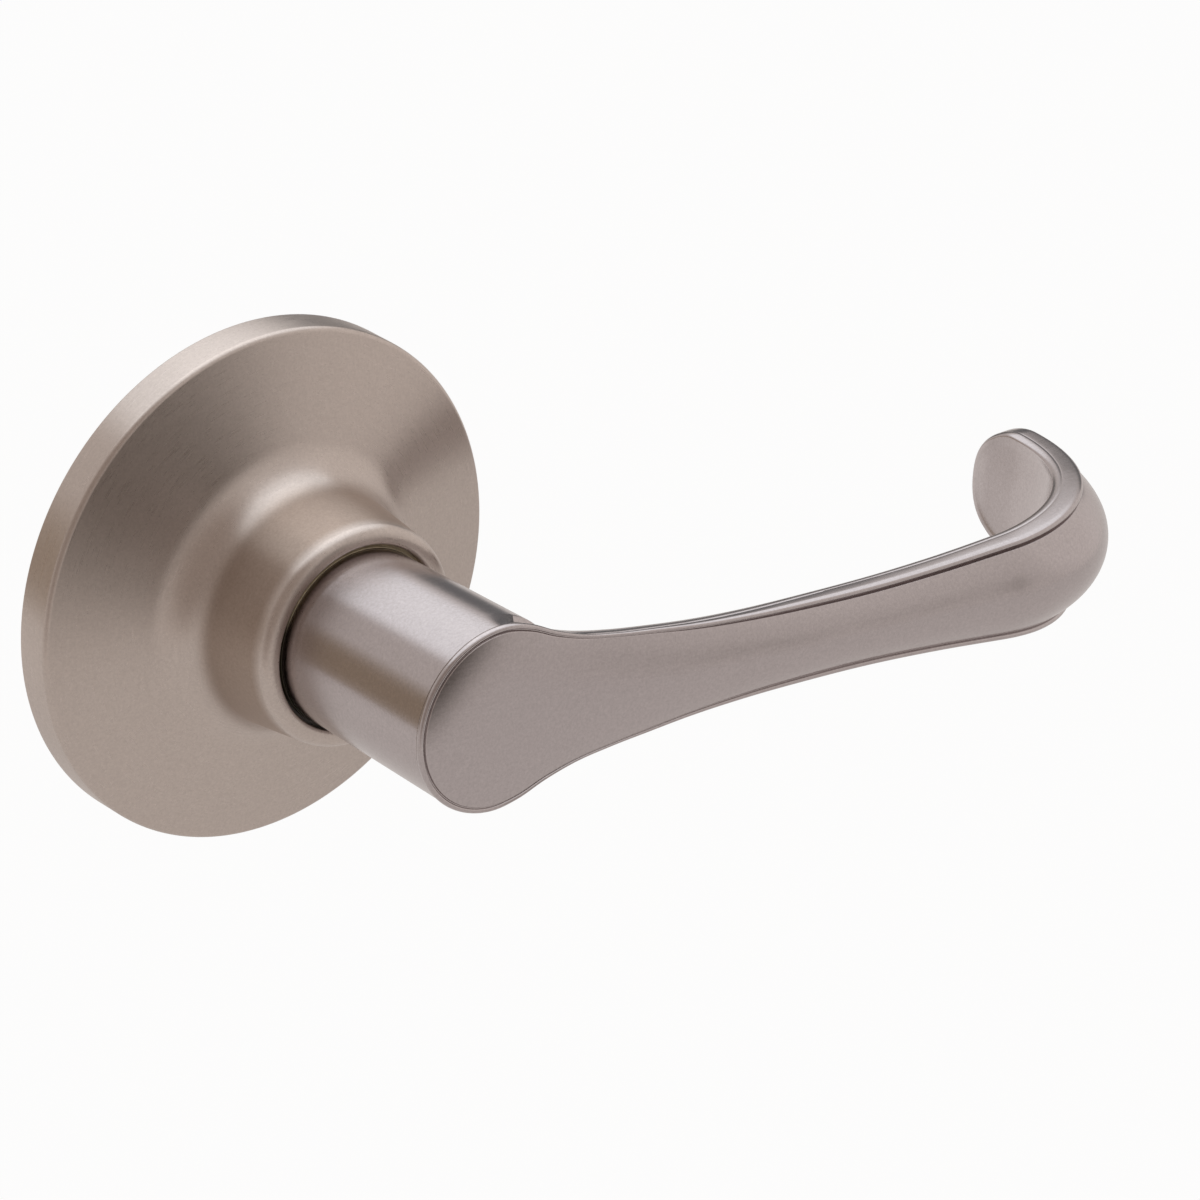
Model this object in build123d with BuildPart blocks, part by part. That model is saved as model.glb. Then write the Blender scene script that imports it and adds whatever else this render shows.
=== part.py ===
"""Door lever handle: the trim for one side of a door, with its lever, rose, spring cassette and spindle.

Millimetres. The lever turns about the Y axis. The door face is the plane y = 0, the trim stands out
towards -Y, and the posts and the spindle go into the door towards +Y. The lever points along +X.
A depth in the names below is a distance from the door face towards -Y.
"""
import os
from math import asin, atan2, cos, degrees, pi, radians, sin, sqrt, tan

from build123d import *

os.makedirs("parts", exist_ok=True)

# Rose: a pressed cover with a flat rim band, a coned face and a drawn neck with a rolled lip
rose_radius = 34.0
rose_rim_depth = 5.2
rose_edge_round = 0.8
rose_sheet = 1.2
rose_face_slope = 13.6
neck_base_radius = 16.2
neck_flare_round = 6.5
neck_lip_radius = 14.5
neck_lip_depth = 24.2
neck_lip_round = 1.6
neck_mouth_radius = 12.2

# Mounting plate: a flange against the door and a dished centre that locates in the cross bore
plate_thickness = 2.0
spigot_radius = 26.7
spigot_depth = 2.0
rose_grip_clearance = 0.05

# Rose liner: a moulded ring that keeps the thin rose from denting
liner_width = 5.7
liner_lip_width = 1.2
liner_corner = 0.6
liner_clearance = 0.08

# Through posts: two threaded posts staked into the plate, on the centres of a common latch
post_spacing = 41.3
post_radius = 3.75
post_length = 7.4
post_tenon_radius = 2.5
post_thread_radius = 2.1
post_thread_length = 6.8
post_mouth_chamfer = 0.4

# Spring housing: a pressed cup over the return spring, riveted to the plate
housing_radius = 18.0
housing_wall = 1.0
housing_depth = 8.0
housing_corner_round = 1.0
housing_flange_radius = 24.4
housing_hole_clearance = 0.5
rivet_count = 4
rivet_start_angle = 45.0
rivet_circle_radius = 21.2
rivet_radius = 1.25
rivet_head_radius = 2.2
rivet_head_height = 0.8

# Drive hub: flange, barrel and tail on the spindle, running in a bush in the plate
hub_flange_radius = 14.6
hub_flange_thickness = 1.5
hub_lug_radius = 16.5
hub_lug_width = 5.0
hub_barrel_radius = 8.6
hub_tail_radius = 7.5
hub_tail_length = 2.0
hub_bush_wall = 2.0
running_clearance = 0.05
axial_play = 0.1
thrust_washer_thickness = 0.5
thrust_washer_radius = 13.6
washer_clearance = 0.3
ring_thickness = 1.0
ring_groove_depth = 0.7
ring_width = 2.3
ring_gap = 4.0
ring_eye_swell = 0.35
ring_eye_flat = 0.2
ring_eye_hole = 0.7

# Pegs of the spring cassette
peg_radius = 1.0
anchor_peg_circle = 15.9
drive_peg_circle = 13.2
drive_peg_gap = 0.3
lever_travel = 45.0
stop_gap = 0.35

# Return spring: two turns of round wire with a leg on each side of the pegs
spring_wire = 1.3
spring_coil_radius = 10.6
spring_pitch = 1.78
spring_turns = 2
spring_bend_radius = 1.5
spring_leg_reach = 16.3
spring_leg_clearance = 0.05
spring_floor_gap = 0.15

# Spindle and its pin
spindle_width = 8.0
spindle_fit = 0.05
spindle_tail = 30.0
spindle_reach = 33.0
spindle_edge_chamfer = 0.5
spindle_pin_radius = 1.25
spindle_pin_inset = 0.2
spindle_pin_depth = 4.6
pin_fit = 0.01

# Neck bush: a moulded bearing that shows as a thin ring in the mouth of the rose
bush_flange_radius = 15.6
bush_flange_thickness = 1.2
bush_nose_setback = 0.2
bush_fit = 0.05

# Lever shank: a journal in the bush and a slow flare to the head
shank_end_gap = 1.3
shank_journal_radius = 11.68
shank_journal_depth = 25.1
shank_head_radius = 12.19
shank_seat = 1.0
shank_step = 0.15
socket_end_gap = 1.5
set_screw_radius = 3.0
set_screw_length = 6.6
set_screw_setback = 2.0
set_screw_key_width = 3.0
set_screw_key_depth = 2.6
set_screw_chamfer = 0.4
front_washer_radius = 11.3
front_washer_thickness = 1.0

# Lever grip: stations along the front edge line, straight to the bend and then round it.
# Each station gives the place along the line, the half height of the face, the swell of the edge
# band past it, the thickness behind the line and the crown in front of it.
lever_line_depth = 51.7
bend_start = 83.6
bend_radius = 26.8
bend_angle = 95.7
tip_run = 4.2
tip_round_length = 8.7
edge_groove_depth = 0.45
edge_groove_width = 0.45
edge_back_round = 1.1
edge_round_run = 20.0
head_station = (0.0, 11.75, 0.53, 4.0, 0.35)
lever_stations = [
    (4.0, 11.0, 0.53, 4.0, 0.36),
    (8.0, 9.35, 0.55, 4.1, 0.42),
    (12.5, 7.95, 0.58, 4.3, 0.53),
    (18.0, 7.0, 0.62, 4.2, 0.70),
    (24.0, 6.25, 0.70, 4.0, 0.90),
    (31.0, 5.45, 0.80, 4.0, 1.10),
    (40.0, 4.90, 0.85, 4.0, 1.30),
    (50.0, 4.70, 0.88, 4.0, 1.55),
    (61.0, 4.85, 0.80, 4.0, 1.70),
    (72.0, 5.40, 0.72, 4.0, 1.85),
    (83.6, 6.30, 0.66, 4.0, 2.20),
    (92.0, 7.00, 0.62, 4.0, 2.95),
    (100.0, 7.45, 0.60, 4.0, 3.75),
    (108.0, 7.65, 0.60, 4.0, 4.20),
    (116.0, 7.60, 0.60, 4.0, 4.15),
]
tip_half_height = 7.5
tip_swell = 0.60
tip_thickness = 4.0
tip_end_thickness = 2.2
tip_crown = 4.0
tip_shares = [0.0, 0.35, 0.6, 0.8, 0.92, 0.98]

# Values that follow from the sizes above
rose_bore_radius = rose_radius - rose_sheet
dish_floor = plate_thickness - spigot_depth
plate_back = spigot_depth
dish_radius = spigot_radius - plate_thickness
plate_radius = rose_bore_radius - rose_grip_clearance
hub_bush_radius = hub_tail_radius + running_clearance + hub_bush_wall
flange_back = dish_floor + thrust_washer_thickness + axial_play
flange_front = flange_back + hub_flange_thickness
tail_end = plate_back + axial_play + ring_thickness + hub_tail_length
housing_bore_radius = housing_radius - housing_wall
housing_inside = housing_depth - housing_wall
shank_end_depth = housing_depth + shank_end_gap
socket_depth = spindle_reach + socket_end_gap
set_screw_depth = spindle_reach - set_screw_setback
neck_bore_radius = neck_lip_radius - rose_sheet
bush_bore_radius = shank_journal_radius + running_clearance
lug_half_angle = degrees(asin(hub_lug_width / 2 / anchor_peg_circle))
stop_half_angle = degrees(asin((peg_radius + stop_gap) / anchor_peg_circle))
stop_angle = lever_travel + lug_half_angle + stop_half_angle
spring_leg_offset = peg_radius + spring_leg_clearance + spring_wire / 2


# Turned sections are drawn on this plane as (radius, depth)
section_plane = Plane(origin=(0, 0, 0), x_dir=(1, 0, 0), z_dir=(0, 0, -1))


def door_plane(depth):
    """Plane across the turning axis at a depth, with its normal pointing out of the door."""
    return Plane(origin=(0, -depth, 0), x_dir=(1, 0, 0), z_dir=(0, -1, 0))


def rose_inside_depth(radius):
    """Depth of the rose's inner face at a radius, on its coned part."""
    slope = radians(rose_face_slope)
    return rose_rim_depth + (rose_radius - radius) * tan(slope) - rose_sheet / cos(slope)


def rose_points(inset):
    """Corners of the rose's section, as (radius, depth), moved inwards by an inset."""
    slope = radians(rose_face_slope)
    rim = rose_rim_depth + inset * tan(slope) - inset / cos(slope)
    foot_radius = neck_base_radius - inset
    foot = rose_rim_depth + (rose_radius - foot_radius) * tan(slope) - inset / cos(slope)
    return [
        (rose_radius - inset, 0),
        (rose_radius - inset, rim),
        (foot_radius, foot),
        (neck_lip_radius - inset, neck_lip_depth - inset),
    ]


def section_sizes(station):
    """Named sizes of one lever section: face, edge band and back half heights, thickness and crown."""
    place, half, swell, thickness, crown = station
    rounding = edge_back_round * min(1.0, place / edge_round_run) * min(1.0, half / tip_half_height)
    back = half + swell - rounding
    if place == 0:
        back = shank_head_radius - shank_step
    return half, half + swell, back, thickness, crown


def line_frame(place):
    """Plane across the lever at a place on its front edge line; local x points out of the grip."""
    turn = max(0.0, min(place - bend_start, bend_radius * radians(bend_angle))) / bend_radius
    run = min(place, bend_start)
    past = max(0.0, place - bend_start - bend_radius * radians(bend_angle))
    x = run + bend_radius * sin(turn) + past * cos(turn)
    y = -lever_line_depth + bend_radius * (1 - cos(turn)) + past * sin(turn)
    return Plane(origin=(x, y, 0), x_dir=(sin(turn), -cos(turn), 0), z_dir=(cos(turn), sin(turn), 0))


def tip_stations():
    """Stations that round off the end of the lever as an ellipse."""
    end = bend_start + bend_radius * radians(bend_angle) + tip_run
    start = end - tip_round_length
    stations = []
    for share in tip_shares:
        fall = sqrt(1 - share**2)
        stations.append(
            (
                start + share * tip_round_length,
                tip_half_height * fall,
                tip_swell * fall,
                tip_end_thickness + (tip_thickness - tip_end_thickness) * fall,
                tip_crown * fall,
            )
        )
    return stations


def crown_middle(half, crown):
    """Point halfway along one side of the crown arc, as (outward, height)."""
    rise = crown + edge_groove_depth
    radius = (half**2 + rise**2) / (2 * rise)
    angle = atan2(half, radius - rise) / 2
    return crown - radius + radius * cos(angle), radius * sin(angle)


def spring_point(angle):
    """Point and direction of the coil at a swept angle, eased to level at both ends."""
    ease = pi / 2
    whole = coil_end - coil_start
    swept = angle - coil_start
    rate = spring_rise / (whole - ease)
    if swept < ease:
        height = rate * swept**2 / (2 * ease)
        slope = rate * swept / ease
    elif swept > whole - ease:
        left = whole - swept
        height = spring_rise - rate * left**2 / (2 * ease)
        slope = rate * left / ease
    else:
        height = rate * (swept - ease / 2)
        slope = rate
    point = Vector(-spring_coil_radius * sin(angle), -spring_base - height, spring_coil_radius * cos(angle))
    way = Vector(-spring_coil_radius * cos(angle), -slope, -spring_coil_radius * sin(angle))
    return point, way.normalized()


def biarc_middle(p_start, way_start, p_end, way_end):
    """Meeting point and direction of the two arcs that join two points with given directions."""
    span = p_end - p_start
    ways = way_start + way_end
    spread = 2 * (1 - way_start.dot(way_end))
    along = span.dot(ways)
    reach = (-along + sqrt(along**2 + spread * span.dot(span))) / spread
    corner_start = p_start + way_start * reach
    corner_end = p_end - way_end * reach
    return (corner_start + corner_end) * 0.5, (corner_end - corner_start).normalized()


# Rose shell
rose_outside = rose_points(0)
rose_inside = rose_points(rose_sheet)
with BuildPart() as rose_shell:
    with BuildSketch(section_plane):
        with BuildLine():
            FilletPolyline(
                *rose_outside,
                (neck_mouth_radius, neck_lip_depth),
                radius=[rose_edge_round, neck_flare_round, neck_lip_round],
            )
            Line((neck_mouth_radius, neck_lip_depth), (neck_mouth_radius, neck_lip_depth - rose_sheet))
            Line((neck_mouth_radius, neck_lip_depth - rose_sheet), rose_inside[3])
            FilletPolyline(
                *reversed(rose_inside),
                radius=[neck_flare_round + rose_sheet, rose_edge_round / 2],
            )
            Line(rose_inside[0], rose_outside[0])
        make_face()
    revolve(axis=Axis.Y)
rose_shell.part.label = "rose_shell"
export_step(rose_shell.part, "parts/rose_shell.step")

# Rose liner
liner_inner = plate_radius - liner_width
liner_lip_outer = liner_inner + liner_lip_width
liner_top = rose_inside_depth(plate_radius) - liner_clearance
liner_lip_top = rose_inside_depth(liner_lip_outer) - liner_clearance
with BuildPart() as rose_liner:
    with BuildSketch(section_plane):
        with BuildLine():
            Polyline(
                (liner_inner, plate_thickness),
                (plate_radius, plate_thickness),
                (plate_radius, liner_top - liner_corner),
                (plate_radius - liner_corner, liner_top),
                (liner_lip_outer, liner_top),
                (liner_lip_outer, liner_lip_top),
                (liner_inner, liner_lip_top),
                close=True,
            )
        make_face()
    revolve(axis=Axis.Y)
rose_liner.part.label = "rose_liner"
export_step(rose_liner.part, "parts/rose_liner.step")

# Mounting plate
stop_places = [
    (anchor_peg_circle * sin(radians(side * stop_angle)), -anchor_peg_circle * cos(radians(stop_angle)))
    for side in (-1, 1)
]
post_places = [(-post_spacing / 2, 0), (post_spacing / 2, 0)]
with BuildPart() as mounting_plate:
    with BuildSketch(section_plane):
        with BuildLine():
            Polyline(
                (hub_bush_radius, dish_floor),
                (dish_radius, dish_floor),
                (dish_radius, plate_thickness),
                (plate_radius, plate_thickness),
                (plate_radius, 0),
                (spigot_radius, 0),
                (spigot_radius, -plate_back),
                (hub_bush_radius, -plate_back),
                close=True,
            )
        make_face()
    revolve(axis=Axis.Y)
    with BuildSketch(door_plane(dish_floor)):
        with Locations(*post_places):
            Circle(post_tenon_radius + pin_fit)
        with PolarLocations(rivet_circle_radius, rivet_count, start_angle=rivet_start_angle):
            Circle(rivet_radius + pin_fit)
        with Locations((0, anchor_peg_circle), *stop_places):
            Circle(peg_radius + pin_fit)
    extrude(amount=-plate_thickness, mode=Mode.SUBTRACT)
mounting_plate.part.label = "mounting_plate"
export_step(mounting_plate.part, "parts/mounting_plate.step")

# Through posts
with BuildPart() as through_posts:
    with BuildSketch(door_plane(-plate_back)):
        with Locations(*post_places):
            Circle(post_radius)
    extrude(amount=-post_length)
    with BuildSketch(door_plane(-plate_back)):
        with Locations(*post_places):
            Circle(post_tenon_radius)
    extrude(amount=plate_thickness)
    with BuildSketch(door_plane(-plate_back - post_length)):
        with Locations(*post_places):
            Circle(post_thread_radius)
    extrude(amount=post_thread_length, mode=Mode.SUBTRACT)
    post_ends = through_posts.faces().sort_by(Axis.Y)[-2:]
    chamfer(post_ends.edges(), post_mouth_chamfer)
through_posts.part.label = "through_posts"
export_step(through_posts.part, "parts/through_posts.step")

# Spring housing
housing_hole_radius = hub_barrel_radius + housing_hole_clearance
with BuildPart() as spring_housing:
    with BuildSketch(section_plane):
        with BuildLine():
            Polyline(
                (housing_bore_radius, dish_floor),
                (housing_flange_radius, dish_floor),
                (housing_flange_radius, dish_floor + housing_wall),
                (housing_radius, dish_floor + housing_wall),
            )
            FilletPolyline(
                (housing_radius, dish_floor + housing_wall),
                (housing_radius, housing_depth),
                (housing_hole_radius, housing_depth),
                radius=housing_corner_round,
            )
            Polyline(
                (housing_hole_radius, housing_depth),
                (housing_hole_radius, housing_inside),
                (housing_bore_radius, housing_inside),
                (housing_bore_radius, dish_floor),
            )
        make_face()
    revolve(axis=Axis.Y)
    with BuildSketch(door_plane(dish_floor)):
        with PolarLocations(rivet_circle_radius, rivet_count, start_angle=rivet_start_angle):
            Circle(rivet_radius + pin_fit)
    extrude(amount=housing_wall, mode=Mode.SUBTRACT)
spring_housing.part.label = "spring_housing"
export_step(spring_housing.part, "parts/spring_housing.step")

# Housing rivets
with BuildPart() as housing_rivets:
    with BuildSketch(door_plane(-plate_back)):
        with PolarLocations(rivet_circle_radius, rivet_count, start_angle=rivet_start_angle):
            Circle(rivet_radius)
    extrude(amount=plate_back + dish_floor + housing_wall)
    with BuildSketch(door_plane(dish_floor + housing_wall)):
        with PolarLocations(rivet_circle_radius, rivet_count, start_angle=rivet_start_angle):
            Circle(rivet_head_radius)
    extrude(amount=rivet_head_height)
    rivet_tops = housing_rivets.faces().sort_by(Axis.Y)[:rivet_count]
    fillet(rivet_tops.edges(), rivet_head_height / 2)
housing_rivets.part.label = "housing_rivets"
export_step(housing_rivets.part, "parts/housing_rivets.step")

# Hub bush, in the bore of the plate
with BuildPart() as hub_bush:
    with BuildSketch(door_plane(-plate_back)):
        Circle(hub_bush_radius)
        Circle(hub_tail_radius + running_clearance, mode=Mode.SUBTRACT)
    extrude(amount=plate_thickness)
hub_bush.part.label = "hub_bush"
export_step(hub_bush.part, "parts/hub_bush.step")

# Thrust washer, between the plate and the hub's flange
with BuildPart() as thrust_washer:
    with BuildSketch(door_plane(dish_floor)):
        Circle(thrust_washer_radius)
        Circle(hub_tail_radius + washer_clearance, mode=Mode.SUBTRACT)
    extrude(amount=thrust_washer_thickness)
thrust_washer.part.label = "thrust_washer"
export_step(thrust_washer.part, "parts/thrust_washer.step")

# Anchor peg, which holds the spring's legs to the plate
with BuildPart() as spring_anchor_peg:
    with BuildSketch(door_plane(-plate_back)):
        with Locations((0, anchor_peg_circle)):
            Circle(peg_radius)
    extrude(amount=plate_back + housing_inside)
spring_anchor_peg.part.label = "spring_anchor_peg"
export_step(spring_anchor_peg.part, "parts/spring_anchor_peg.step")

# Stop pegs, which the hub's lug meets at each end of the travel
with BuildPart() as stop_pegs:
    with BuildSketch(door_plane(-plate_back)):
        with Locations(*stop_places):
            Circle(peg_radius)
    extrude(amount=plate_back + housing_inside)
stop_pegs.part.label = "stop_pegs"
export_step(stop_pegs.part, "parts/stop_pegs.step")

# Neck bush
bush_body_radius = neck_bore_radius - bush_fit
bush_nose_radius = neck_mouth_radius - bush_fit
bush_shoulder_depth = neck_lip_depth - rose_sheet - bush_fit
with BuildPart() as neck_bush:
    with BuildSketch(section_plane):
        with BuildLine():
            Polyline(
                (bush_bore_radius, housing_depth),
                (bush_flange_radius, housing_depth),
                (bush_flange_radius, housing_depth + bush_flange_thickness),
                (bush_body_radius, housing_depth + bush_flange_thickness),
                (bush_body_radius, bush_shoulder_depth),
                (bush_nose_radius, bush_shoulder_depth),
                (bush_nose_radius, neck_lip_depth - bush_nose_setback),
                (bush_bore_radius, neck_lip_depth - bush_nose_setback),
                close=True,
            )
        make_face()
    revolve(axis=Axis.Y)
neck_bush.part.label = "neck_bush"
export_step(neck_bush.part, "parts/neck_bush.step")

# Return spring
spring_base = flange_front + spring_floor_gap + spring_wire / 2
bend_reach = spring_coil_radius + spring_bend_radius
coil_start = asin((spring_leg_offset + spring_bend_radius) / bend_reach)
coil_end = 2 * pi * spring_turns - coil_start
spring_rise = spring_pitch * (coil_end - coil_start) / (2 * pi)
leg_foot = bend_reach * cos(coil_start)
quarter_turns = round((coil_end - coil_start) / (pi / 2))
coil_angles = [coil_start + (coil_end - coil_start) * k / quarter_turns for k in range(quarter_turns + 1)]
coil_nodes = [spring_point(angle) for angle in coil_angles]
near_leg_top = Vector(-spring_leg_offset, -spring_base, spring_leg_reach)
near_leg_foot = Vector(-spring_leg_offset, -spring_base, leg_foot)
far_leg_foot = Vector(spring_leg_offset, -spring_base - spring_rise, leg_foot)
far_leg_top = Vector(spring_leg_offset, -spring_base - spring_rise, spring_leg_reach)
with BuildPart() as return_spring:
    with BuildLine() as spring_line:
        Line(near_leg_top, near_leg_foot)
        TangentArc(near_leg_foot, coil_nodes[0][0], tangent=(0, 0, -1))
        for (p_start, way_start), (p_end, way_end) in zip(coil_nodes, coil_nodes[1:]):
            middle, way_middle = biarc_middle(p_start, way_start, p_end, way_end)
            TangentArc(p_start, middle, tangent=way_start)
            TangentArc(middle, p_end, tangent=way_middle)
        TangentArc(coil_nodes[-1][0], far_leg_foot, tangent=coil_nodes[-1][1])
        Line(far_leg_foot, far_leg_top)
    with BuildSketch(Plane(origin=near_leg_top, z_dir=(0, 0, -1))):
        Circle(spring_wire / 2)
    sweep(path=spring_line.wires()[0])
return_spring.part.label = "return_spring"
export_step(return_spring.part, "parts/return_spring.step")

# The spring's least gap to itself, measured between points that are over a third of a turn apart
spring_path = spring_line.wires()[0]
sample_count = 600
sample_step = spring_path.length / sample_count
samples = [spring_path.position_at(k / sample_count) for k in range(sample_count + 1)]
skip = int(spring_coil_radius * 2 * pi / 3 / sample_step)
least_gap = min(
    (samples[i] - samples[j]).length
    for i in range(0, sample_count + 1)
    for j in range(i + skip, sample_count + 1)
)
print("return spring, least gap to itself:", round(least_gap - spring_wire, 3))

# Drive hub
lug_bottom = sqrt(hub_lug_radius**2 - (hub_lug_width / 2) ** 2)
socket_width = spindle_width + 2 * spindle_fit
with BuildPart() as drive_hub:
    with BuildSketch(door_plane(flange_back)):
        Circle(hub_flange_radius)
        with Locations((0, -lug_bottom / 2)):
            Rectangle(hub_lug_width, lug_bottom)
    extrude(amount=hub_flange_thickness)
    with BuildSketch(door_plane(flange_front)):
        Circle(hub_barrel_radius)
    extrude(amount=shank_end_depth - axial_play - flange_front)
    with BuildSketch(door_plane(-tail_end)):
        Circle(hub_tail_radius)
    extrude(amount=tail_end + flange_back)
    with BuildSketch(door_plane(-plate_back - axial_play)):
        Circle(hub_tail_radius)
        Circle(hub_tail_radius - ring_groove_depth, mode=Mode.SUBTRACT)
    extrude(amount=-ring_thickness, mode=Mode.SUBTRACT)
    with BuildSketch(door_plane(-tail_end)):
        Rectangle(socket_width, socket_width)
    extrude(amount=tail_end + shank_end_depth, mode=Mode.SUBTRACT)
    with BuildSketch(door_plane(flange_back)):
        with Locations((0, drive_peg_circle)):
            Circle(peg_radius + pin_fit)
    extrude(amount=hub_flange_thickness, mode=Mode.SUBTRACT)
    with BuildSketch(Plane(origin=(0, -spindle_pin_depth, 0), z_dir=(1, 0, 0))):
        Circle(spindle_pin_radius + pin_fit)
    extrude(amount=hub_barrel_radius, both=True, mode=Mode.SUBTRACT)
drive_hub.part.label = "drive_hub"
export_step(drive_hub.part, "parts/drive_hub.step")

# Spring drive peg
with BuildPart() as spring_drive_peg:
    with BuildSketch(door_plane(flange_back)):
        with Locations((0, drive_peg_circle)):
            Circle(peg_radius)
    extrude(amount=housing_inside - drive_peg_gap - flange_back)
spring_drive_peg.part.label = "spring_drive_peg"
export_step(spring_drive_peg.part, "parts/spring_drive_peg.step")

# Retaining ring, on the hub's tail behind the plate
ring_bore_radius = hub_tail_radius - ring_groove_depth + pin_fit
ring_eye_place = ring_bore_radius + ring_width / 2
ring_eye_radius = ring_width / 2 + ring_eye_swell
ring_eyes = [(side * (ring_gap / 2 + ring_eye_radius - ring_eye_flat), -ring_eye_place) for side in (-1, 1)]
with BuildPart() as retaining_ring:
    with BuildSketch(door_plane(-plate_back - axial_play)):
        Circle(ring_bore_radius + ring_width)
        with Locations(*ring_eyes):
            Circle(ring_eye_radius)
        Circle(ring_bore_radius, mode=Mode.SUBTRACT)
        with Locations((0, -ring_eye_place)):
            Rectangle(ring_gap, 2 * ring_width, mode=Mode.SUBTRACT)
        with Locations(*ring_eyes):
            Circle(ring_eye_hole, mode=Mode.SUBTRACT)
    extrude(amount=-ring_thickness)
retaining_ring.part.label = "retaining_ring"
export_step(retaining_ring.part, "parts/retaining_ring.step")

# Spindle
with BuildPart() as spindle:
    with BuildSketch(door_plane(-spindle_tail)):
        Rectangle(spindle_width, spindle_width)
    extrude(amount=spindle_tail + spindle_reach)
    spindle_ends = spindle.faces().filter_by(Axis.Y)
    chamfer(spindle_ends.edges(), spindle_edge_chamfer)
    with BuildSketch(Plane(origin=(0, -spindle_pin_depth, 0), z_dir=(1, 0, 0))):
        Circle(spindle_pin_radius + pin_fit)
    extrude(amount=spindle_width, both=True, mode=Mode.SUBTRACT)
spindle.part.label = "spindle"
export_step(spindle.part, "parts/spindle.step")

# Spindle pin, across the hub's barrel
with BuildPart() as spindle_pin:
    with BuildSketch(Plane(origin=(0, -spindle_pin_depth, 0), z_dir=(1, 0, 0))):
        Circle(spindle_pin_radius)
    extrude(amount=hub_barrel_radius - spindle_pin_inset, both=True)
spindle_pin.part.label = "spindle_pin"
export_step(spindle_pin.part, "parts/spindle_pin.step")

# Front washer, between the housing and the shank
with BuildPart() as front_washer:
    with BuildSketch(door_plane(shank_end_depth)):
        Circle(front_washer_radius)
        Circle(hub_barrel_radius + running_clearance, mode=Mode.SUBTRACT)
    extrude(amount=-front_washer_thickness)
front_washer.part.label = "front_washer"
export_step(front_washer.part, "parts/front_washer.step")

# Set screw, up through the underside of the shank onto the spindle
screw_top = -spindle_width / 2
with BuildPart() as set_screw:
    with BuildSketch(Plane(origin=(0, -set_screw_depth, screw_top), z_dir=(0, 0, -1))):
        Circle(set_screw_radius)
    extrude(amount=set_screw_length)
    chamfer(set_screw.faces().filter_by(Axis.Z).edges(), set_screw_chamfer)
    with BuildSketch(Plane(origin=(0, -set_screw_depth, screw_top - set_screw_length), z_dir=(0, 0, 1))):
        RegularPolygon(set_screw_key_width / 2, 6, major_radius=False)
    extrude(amount=set_screw_key_depth, mode=Mode.SUBTRACT)
set_screw.part.label = "set_screw"
export_step(set_screw.part, "parts/set_screw.step")

# Lever: the shank, the round head, and the grip lofted along its line
head_half, head_band, head_back, head_thickness, head_crown = section_sizes(head_station)
head_face = head_half - edge_groove_width
head_back_depth = lever_line_depth - head_thickness
with BuildPart() as lever:
    with BuildSketch(section_plane):
        with BuildLine():
            Polyline(
                (0, shank_end_depth),
                (shank_journal_radius, shank_end_depth),
                (shank_journal_radius, shank_journal_depth),
                (shank_head_radius, head_back_depth),
                (shank_head_radius - shank_seat, head_back_depth + shank_seat),
                (0, head_back_depth + shank_seat),
                close=True,
            )
        make_face()
    revolve(axis=Axis.Y)
    with BuildSketch(Plane.YZ):
        with BuildLine():
            Line((-lever_line_depth + head_thickness, 0), (-lever_line_depth + head_thickness, head_back))
            ThreePointArc(
                (-lever_line_depth + head_thickness, head_back),
                (-lever_line_depth + head_thickness / 2, head_band),
                (-lever_line_depth, head_half),
            )
            Line((-lever_line_depth, head_half), (-lever_line_depth + edge_groove_depth, head_face))
            crown_out, crown_height = crown_middle(head_face, head_crown)
            ThreePointArc(
                (-lever_line_depth + edge_groove_depth, head_face),
                (-lever_line_depth - crown_out, crown_height),
                (-lever_line_depth - head_crown, 0),
            )
            Line((-lever_line_depth - head_crown, 0), (-lever_line_depth + head_thickness, 0))
        make_face()
    revolve(axis=Axis((0, 0, 0), (0, -1, 0)), revolution_arc=180)
    for station in [head_station] + lever_stations + tip_stations():
        half, band, back, thickness, crown = section_sizes(station)
        face = half - edge_groove_width * min(1.0, half / tip_half_height)
        sink = edge_groove_depth * min(1.0, half / tip_half_height)
        with BuildSketch(line_frame(station[0])):
            with BuildLine():
                Line((-thickness, -back), (-thickness, back))
                ThreePointArc((-thickness, back), (-thickness / 2, band), (0, half))
                Line((0, half), (-sink, face))
                ThreePointArc((-sink, face), (crown, 0), (-sink, -face))
                Line((-sink, -face), (0, -half))
                ThreePointArc((0, -half), (-thickness / 2, -band), (-thickness, -back))
            make_face()
    loft()
    with BuildSketch(door_plane(shank_end_depth)):
        Rectangle(socket_width, socket_width)
    extrude(amount=socket_depth - shank_end_depth, mode=Mode.SUBTRACT)
    with BuildSketch(Plane(origin=(0, -set_screw_depth, 0), z_dir=(0, 0, -1))):
        Circle(set_screw_radius + pin_fit)
    extrude(amount=shank_head_radius + shank_journal_radius, mode=Mode.SUBTRACT)
lever.part.label = "lever"
export_step(lever.part, "parts/lever.step")
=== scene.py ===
"""Door lever handle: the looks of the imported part, in metres, in the part's own frame.

The lever turns about the Y axis, the door face is the plane y = 0, and the trim stands out towards -Y.
Sizes of the pieces are in millimetres and are turned to metres where a mesh is made. Finishes, stage, lights
and camera are in metres. A depth of a piece is a distance from the door face towards -Y.
"""

from math import atan2, cos, pi, radians, sin, sqrt, tan

import bmesh
import bpy
from mathutils import Matrix, Vector


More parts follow.
